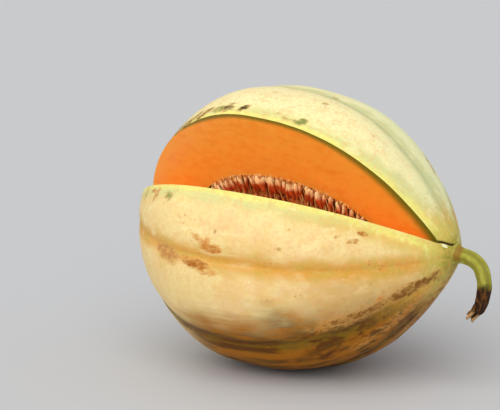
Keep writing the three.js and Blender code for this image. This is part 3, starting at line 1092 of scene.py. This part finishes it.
class CutFrame:
    """A cut's own frame: X along the root line, Y outwards in the cut, Z square to it."""

    def __init__(self, name, degrees, flesh_side):
        along = (ROOT_END - ROOT_START).normalized()
        square = along.cross(outward_at(math.radians(degrees))).normalized()
        outward = square.cross(along)
        self.name = name
        self.flesh_side = flesh_side
        self.matrix = Matrix.Translation(ROOT_START) @ Matrix((along, outward, square)).transposed().to_4x4()

    def wall(self, along):
        """How far the cavity's wall stands from the root line."""
        def in_cavity(out):
            point = self.matrix @ Vector((along, out, 0))
            return math.hypot(point.y, point.z) < CAVITY_RADIUS * cavity_share(point.x)
        return crossing(0, GIRTH_RADIUS, in_cavity)

    def seed_place(self, along, inset, depth, sway):
        """Matrix of a seed whose tip stands inset from its usual place, depth seed widths behind the cut."""
        slope = (self.wall(along + MM) - self.wall(along - MM)) / (2 * MM)
        tip = self.wall(along) - SEED_TIP_GAP
        size = min(1, (tip - SEED_ROOT_SPACE) / SEED_LENGTH)
        lean = SEED_FAN * math.atan(slope) + sway
        spot = Vector((along, tip - inset, self.flesh_side * (GAP + SEED_WIDTH * depth)))
        turned = Matrix.Translation(spot) @ Matrix.Rotation(lean, 4, "Z")
        return self.matrix @ turned @ Matrix.Scale(size, 4)


CUTS = (CutFrame("lower", LOWER_CUT, 1), CutFrame("upper", UPPER_CUT, -1))


def seed_mesh(matrix, roll, plump):
    """A flat teardrop with its broad end at the origin and its narrow end towards -Y."""
    mesh = bmesh.new()
    bmesh.ops.create_uvsphere(mesh, u_segments=12, v_segments=8, radius=0.5)
    bmesh.ops.rotate(mesh, cent=(0, 0, 0), matrix=Matrix.Rotation(math.pi / 2, 3, "X"), verts=mesh.verts)
    tip = mesh.verts.layers.float.new("tip")
    for corner in mesh.verts:
        out = corner.co.y + 0.5
        corner[tip] = out
        narrowing = 1 - SEED_TAPER * (1 - out)
        corner.co.x *= SEED_THICKNESS * narrowing * plump
        corner.co.z *= SEED_WIDTH * narrowing
        corner.co.y = (out - 1) * SEED_LENGTH
        spot = corner.co + matrix.translation
        corner.co += noise.noise_vector(spot / SEED_KNOB_SIZE) * SEED_KNOB_HEIGHT
    turn = Matrix.Rotation(roll, 4, "Y")
    bmesh.ops.transform(mesh, matrix=POSE @ matrix @ turn, verts=mesh.verts)
    shade_smooth(mesh)
    return mesh


def either_way(chance, reach):
    return chance.uniform(-reach, reach)


def merge_into(target, mesh):
    """Adds one mesh to another."""
    data = bpy.data.meshes.new("joining")
    mesh.to_mesh(data)
    mesh.free()
    target.from_mesh(data)
    bpy.data.meshes.remove(data)


class Ranges:
    """Draws from named ranges that are in millimetres."""

    def __init__(self, chance, ranges):
        self.chance = chance
        self.ranges = ranges

    def __call__(self, name):
        return self.chance.uniform(*self.ranges[name]) * MM

    def station(self):
        return self.chance.uniform(*SEED_ROW)


class CANTALOUPE_OT_melon_body(bpy.types.Operator):
    """Make the rind and the flesh with its two cuts and its cavity"""

    bl_idname = "cantaloupe.melon_body"
    bl_label = "Rind and Flesh"

    def execute(self, context):
        colours = context.scene.melon_colours
        mesh = melon_mesh(context.scene.melon_sizes)
        materials = (rind_finish(colours), flesh_finish(colours))
        new_piece("rind_and_flesh", mesh, materials, ["melon_body"])
        return {"FINISHED"}


class CANTALOUPE_OT_seed_pulp(bpy.types.Operator):
    """Make the wet, stringy pulp that fills the cavity"""

    bl_idname = "cantaloupe.seed_pulp"
    bl_label = "Seed Pulp"

    def execute(self, context):
        colours = context.scene.melon_colours
        sizes = context.scene.melon_sizes
        mesh = bmesh.new()
        mesh.from_mesh(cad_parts["seed_pulp"].data)
        bmesh.ops.remove_doubles(mesh, verts=mesh.verts, dist=FINEST_SAME_PLACE)
        data = bpy.data.meshes.new("pulp_core")
        mesh.to_mesh(data)
        mesh.free()
        core = bpy.data.objects.new("pulp_core", data)
        context.scene.collection.objects.link(core)
        remesh = core.modifiers.new("Remesh", "REMESH")
        remesh.mode = "VOXEL"
        remesh.voxel_size = sizes.pulp_cell
        fine = bpy.data.meshes.new_from_object(core.evaluated_get(context.evaluated_depsgraph_get()))
        bpy.data.objects.remove(core)
        bpy.data.meshes.remove(data)
        mesh = bmesh.new()
        mesh.from_mesh(fine)
        bpy.data.meshes.remove(fine)
        hollow = mesh.verts.layers.float.new("hollow")
        to_melon = POSE.inverted()
        moves = []
        for corner in mesh.verts:
            spot = to_melon @ corner.co
            offset = spot - root_at(spot.x)
            along_string = (spot.x, angle_of(offset), math.hypot(offset.y, offset.z))
            string = Vector([step / size for step, size in zip(along_string, PULP_STRING)])
            uneven = noise.noise(string) * PULP_STRING_SHARE
            uneven += noise.noise(spot / PULP_LUMP) * (1 - PULP_STRING_SHARE)
            sunk = smooth(0.5 - uneven)
            # The sunken places get painted shade as well as being pushed in
            corner[hollow] = sunk
            moves.append(corner.normal * -sunk * PULP_HOLLOW)
        for corner, move in zip(mesh.verts, moves):
            corner.co += move
        shade_smooth(mesh)
        finish = pulp_finish(colours, "pulp", colours.pulp, colours.pulp_shade)
        new_piece("pulp_mass", mesh, [finish], ["seed_pulp"])
        return {"FINISHED"}


class CANTALOUPE_OT_seeds(bpy.types.Operator):
    """Make the two rows of seeds, and the loose seeds behind them and on the cut pulp"""

    bl_idname = "cantaloupe.seeds"
    bl_label = "Seeds"

    def execute(self, context):
        finish = seed_finish(context.scene.melon_colours)
        chance = random.Random(SEED_CHANCE)
        noise.seed_set(SEED_CHANCE)
        loose = bmesh.new()
        for cut in CUTS:
            self.plant_row(cut, chance, finish)
            for _ in range(FILLING_SEEDS_PER_CUT):
                along = chance.uniform(*SEED_ROW)
                sway = either_way(chance, FILLING_SEEDS.sway)
                inset = chance.uniform(*FILLING_SEEDS.inset)
                matrix = cut.seed_place(along, inset, chance.uniform(*FILLING_SEEDS.depth), sway)
                roll = either_way(chance, FILLING_SEEDS.roll)
                merge_into(loose, seed_mesh(matrix, roll, chance.uniform(*SEED_PLUMPNESS)))
            for _ in range(LYING_SEEDS_PER_CUT):
                along = chance.uniform(*SEED_ROW)
                inset = SEED_LENGTH + chance.uniform(*LYING_SEEDS.inset)
                if cut.wall(along) - inset < SEED_LENGTH + LYING_SEED_ROOM:
                    continue
                sway = either_way(chance, LYING_SEEDS.sway)
                matrix = cut.seed_place(along, inset, LYING_SEEDS.depth, sway)
                flat = math.pi / 2 + either_way(chance, LYING_SEEDS.roll)
                merge_into(loose, seed_mesh(matrix, flat, 1))
        new_piece("loose_seeds", loose, [finish])
        return {"FINISHED"}

    def plant_row(self, cut, chance, finish):
        """The row of seeds that the part itself has, one piece for each."""
        first, last = SEED_ROW
        for index in range(SEEDS_PER_CUT):
            along = first + (last - first) / (SEEDS_PER_CUT - 1) * index
            sway = SEED_SWAY * (-1) ** index + either_way(chance, ROW_SEEDS.sway)
            matrix = cut.seed_place(along, chance.uniform(*ROW_SEEDS.inset), ROW_SEEDS.depth, sway)
            roll = either_way(chance, ROW_SEEDS.roll)
            mesh = seed_mesh(matrix, roll, chance.uniform(*SEED_PLUMPNESS))
            number = f"{index + 1:02d}"
            new_piece(f"{cut.name}_row_seed_{number}", mesh, [finish], [f"{cut.name}_seed_{number}"])


class CANTALOUPE_OT_fibres(bpy.types.Operator):
    """Make the wet fibres that stand between the seeds and lie on the cut pulp"""

    bl_idname = "cantaloupe.fibres"
    bl_label = "Fibres"

    def execute(self, context):
        colours = context.scene.melon_colours
        radius = context.scene.melon_sizes.fibre_radius
        chance = random.Random(FIBRE_CHANCE)
        mesh = bmesh.new()
        for cut in CUTS:
            for _ in range(STANDING_FIBRES_PER_CUT):
                line = self.standing(cut, Ranges(chance, STANDING_FIBRE))
                self.strand(mesh, cut, *line, radius * chance.uniform(*FIBRE_THICKNESS))
            for _ in range(WALL_FIBRES_PER_CUT):
                line = self.from_wall(cut, Ranges(chance, WALL_FIBRE))
                self.strand(mesh, cut, *line, radius * chance.uniform(*WALL_FIBRE_THICKNESS))
            for _ in range(LYING_FIBRES_PER_CUT):
                line = self.lying(cut, Ranges(chance, LYING_FIBRE))
                if line:
                    self.strand(mesh, cut, *line, radius * chance.uniform(*FIBRE_THICKNESS))
        shade_smooth(mesh)
        # The fibres turn towards the pulp colour as painted shade on one side
        finish = pulp_finish(colours, "fibre", colours.fibre, colours.pulp)
        new_piece("wet_fibres", mesh, [finish])
        return {"FINISHED"}

    def standing(self, cut, draw):
        """Start, end and bow of a fibre between the seeds."""
        along = draw.station()
        wall = cut.wall(along)
        reach = min(SEED_LENGTH + draw("foot"), wall - MM)
        deep = cut.flesh_side * draw("deep")
        start = Vector((along + draw("lean"), wall - reach, deep))
        end = Vector((along, wall - draw("tip"), deep + draw("shift")))
        return start, end, Vector((draw("bow"), 0, draw("rise")))

    def from_wall(self, cut, draw):
        """Start, end and bow of a fibre that joins a seed's tip to the flesh."""
        along = draw.station()
        wall = cut.wall(along)
        deep = cut.flesh_side * draw("deep")
        start = Vector((along, wall + MM, deep))
        end = Vector((along + draw("lean"), wall - draw("tip"), deep))
        return start, end, Vector((draw("bow"), 0, -cut.flesh_side * draw("rise")))

    def lying(self, cut, draw):
        """Start, end and bow of a fibre on the cut pulp, or nothing where there is no room for one."""
        along = draw.station()
        room = cut.wall(along) - SEED_LENGTH - LYING_FIBRE_MARGIN
        if room < LYING_FIBRE_ROOM:
            return None
        out = draw.chance.uniform(MM, room - LYING_FIBRE_MARGIN)
        start = Vector((along, out, cut.flesh_side * MM))
        end = start + Vector((draw("lean"), draw("tip"), 0))
        return start, end, Vector((draw("bow"), 0, -cut.flesh_side * draw("rise")))

    def strand(self, mesh, cut, start, end, bow, radius):
        """A thin tapered tube from start to end that bows to one side."""
        ahead = (end - start).normalized()
        side = ahead.orthogonal().normalized()
        up = ahead.cross(side)

        def place(along, around):
            angle = FULL_TURN * around
            middle = start.lerp(end, along) + bow * math.sin(math.pi * along)
            thick = radius * (1 - FIBRE_TAPER * along) * (FIBRE_END if along in (0, 1) else 1)
            point = middle + (side * math.cos(angle) + up * math.sin(angle)) * thick
            # One side of each fibre is marked for painted shade
            return POSE @ cut.matrix @ point, {"hollow": FIBRE_SHADE * around}

        one = bmesh.new()
        sheet(one, FIBRE_RINGS, shares(FIBRE_SIDES), place)
        bmesh.ops.remove_doubles(one, verts=one.verts, dist=FINEST_SAME_PLACE)
        bmesh.ops.holes_fill(one, edges=[edge for edge in one.edges if edge.is_boundary], sides=0)
        bmesh.ops.recalc_face_normals(one, faces=one.faces)
        merge_into(mesh, one)


class CANTALOUPE_OT_stem(bpy.types.Operator):
    """Make the hooked stem with its lobed foot and its split end"""

    bl_idname = "cantaloupe.stem"
    bl_label = "Stem"

    def execute(self, context):
        mesh = bmesh.new()
        sheet(mesh, [HIDDEN_RING, *shares(STEM_RINGS)], shares(STEM_SIDES), self.place)
        bmesh.ops.remove_doubles(mesh, verts=mesh.verts, dist=SAME_PLACE)
        openings = [edge for edge in mesh.edges if edge.is_boundary]
        caps = bmesh.ops.holes_fill(mesh, edges=openings, sides=0)["faces"]
        middles = bmesh.ops.poke(mesh, faces=caps)["verts"]
        end = max(middles, key=lambda corner: corner.co.x - corner.co.z)
        end.co -= (self.middle(1) - self.middle(ALMOST_AT_END)).normalized() * STEM_HOLLOW
        bmesh.ops.recalc_face_normals(mesh, faces=mesh.faces)
        bmesh.ops.transform(mesh, matrix=POSE, verts=mesh.verts)
        shade_smooth(mesh)
        new_piece("ridged_stem", mesh, [stem_finish(context.scene.melon_colours)], ["stem"])
        return {"FINISHED"}

    def middle(self, along):
        """A point of the smooth curve through the stem's middle line, at a share of its length."""
        points = [Vector((x, 0, z)) * MM for x, z in STEM_LINE]
        points = [2 * points[0] - points[1], *points, 2 * points[-1] - points[-2]]
        spans = len(points) - 3
        span = min(int(along * spans), spans - 1)
        way = along * spans - span
        before, start, end, after = points[span:span + 4]
        return (
            start
            + (end - before) * way / 2
            + (before * 2 - start * 5 + end * 4 - after) * way ** 2 / 2
            + (start * 3 - before - end * 3 + after) * way ** 3 / 2
        )

    def place(self, along, around):
        """A corner of the stem's skin and what its finish reads, at shares of its length and girth."""
        step = 1 / STEM_RINGS
        ahead = (self.middle(min(along + step, 1)) - self.middle(max(along - step, 0))).normalized()
        if along <= 0:
            ahead = Vector((1, 0, 0))
        side = Vector((0, 1, 0))
        up = ahead.cross(side).normalized()
        angle = FULL_TURN * around
        out = side * math.sin(angle) + up * math.cos(angle)
        foot = max(1 - max(along, 0) / STEM_FOOT_SHARE, 0) ** 2
        withered = ramp(along, *STEM_WITHERED)
        frayed = ramp(along, *STEM_FRAYED)
        ridge = math.cos(STEM_RIDGES * angle)
        splinter = ramp(math.cos(STEM_SPLINTERS * angle + SPLINTER_TURN), *SPLINTER_EDGE)
        radius = STEM_RADIUS * (1 - STEM_TIP_TAPER * max(along, 0) ** 4 - STEM_SHRINKING * withered)
        radius += (STEM_FOOT_RADIUS - STEM_RADIUS) * foot
        radius *= 1 + STEM_RIDGE_HEIGHT * (1 + withered) * ridge * (1 - foot)
        radius *= 1 - STEM_SPLIT * frayed * (1 - splinter)
        spot = self.middle(max(along, 0))
        if along < 0:
            spot -= ahead * HIDDEN_DEPTH
            radius += HIDDEN_FLARE
        knots = noise.noise((spot + out * radius) / STEM_KNOT_SIZE)
        knots *= (STEM_KNOTS + STEM_WITHERED_KNOTS * withered) * (1 - foot)
        uneven = noise.noise(Vector((angle, FRINGE_PLACE, 0)) * FRINGE_FINENESS)
        fringe = frayed * (splinter + uneven - FRINGE_LOSS) * STEM_SPLINTER_LENGTH
        bruised = ramp(abs(along - STEM_BRUISE), *STEM_BRUISE_EDGE)
        return spot + out * radius * (1 + knots) + ahead * fringe, {
            # Painted shade in the furrows between the ridges
            "valley": ramp(ridge, *VALLEY_EDGE),
            "dried": ramp(along, *STEM_DRIED),
            "straw": frayed * splinter,
            "foot": ramp(along, STEM_FOOT_SHARE, 0),
            "bruise": bruised * ramp(math.cos(angle + STEM_BRUISE_TURN), *STEM_BRUISE_SIDE),
        }


class CANTALOUPE_OT_stage(bpy.types.Operator):
    """Make the floor, the soft lights and the camera"""

    bl_idname = "cantaloupe.stage"
    bl_label = "Studio"

    def execute(self, context):
        scene = context.scene
        studio = scene.melon_studio
        mesh = bmesh.new()
        bmesh.ops.create_grid(mesh, x_segments=2, y_segments=2, size=FLOOR_REACH)
        data = bpy.data.meshes.new("floor")
        mesh.to_mesh(data)
        mesh.free()
        data.materials.append(plain_finish("floor", tuple(studio.floor), FLOOR_ROUGHNESS))
        floor = bpy.data.objects.new("floor", data)
        scene.collection.objects.link(floor)
        light = bpy.data.lights.new("main_light", "SUN")
        light.energy = studio.light_strength
        light.angle = studio.light_softness
        lamp = bpy.data.objects.new("main_light", light)
        lamp.rotation_euler = (-Vector(studio.light_place)).to_track_quat("-Z", "Y").to_euler()
        scene.collection.objects.link(lamp)
        world = bpy.data.worlds.new("studio")
        world.use_nodes = True
        background = world.node_tree.nodes["Background"]
        background.inputs["Color"].default_value = (*studio.backdrop, 1)
        background.inputs["Strength"].default_value = studio.sky
        scene.world = world
        scene.view_settings.view_transform = "Standard"
        camera = bpy.data.objects.new("camera", bpy.data.cameras.new("camera"))
        camera.data.lens = studio.lens
        camera.data.sensor_width = SENSOR_WIDTH
        camera.data.sensor_fit = "HORIZONTAL"
        camera.location = studio.camera_place
        towards = Vector(studio.camera_target) - Vector(studio.camera_place)
        camera.rotation_euler = towards.to_track_quat("-Z", "Y").to_euler()
        scene.collection.objects.link(camera)
        scene.camera = camera
        return {"FINISHED"}


class CANTALOUPE_PT_pieces(bpy.types.Panel):
    """Lists the melon's pieces"""

    bl_label = "Cantaloupe"
    bl_idname = "CANTALOUPE_PT_pieces"
    bl_space_type = "VIEW_3D"
    bl_region_type = "UI"
    bl_category = "Cantaloupe"

    def draw(self, context):
        for operator in OPERATORS:
            self.layout.operator(operator.bl_idname)


OPERATORS = (
    CANTALOUPE_OT_stage,
    CANTALOUPE_OT_melon_body,
    CANTALOUPE_OT_seed_pulp,
    CANTALOUPE_OT_seeds,
    CANTALOUPE_OT_fibres,
    CANTALOUPE_OT_stem,
)
SETTINGS = {"melon_sizes": MelonSizes, "melon_colours": MelonColours, "melon_studio": StudioSettings}


def register():
    for item in (*SETTINGS.values(), *OPERATORS, CANTALOUPE_PT_pieces):
        bpy.utils.register_class(item)
    for name, group in SETTINGS.items():
        setattr(bpy.types.Scene, name, bpy.props.PointerProperty(type=group))


def unregister():
    for name in SETTINGS:
        delattr(bpy.types.Scene, name)
    for item in (CANTALOUPE_PT_pieces, *reversed(OPERATORS), *reversed(SETTINGS.values())):
        bpy.utils.unregister_class(item)


def main():
    register()
    bpy.ops.cantaloupe.stage()
    bpy.ops.cantaloupe.melon_body()
    bpy.ops.cantaloupe.seed_pulp()
    bpy.ops.cantaloupe.seeds()
    bpy.ops.cantaloupe.fibres()
    bpy.ops.cantaloupe.stem()


if __name__ == "__main__":
    main()
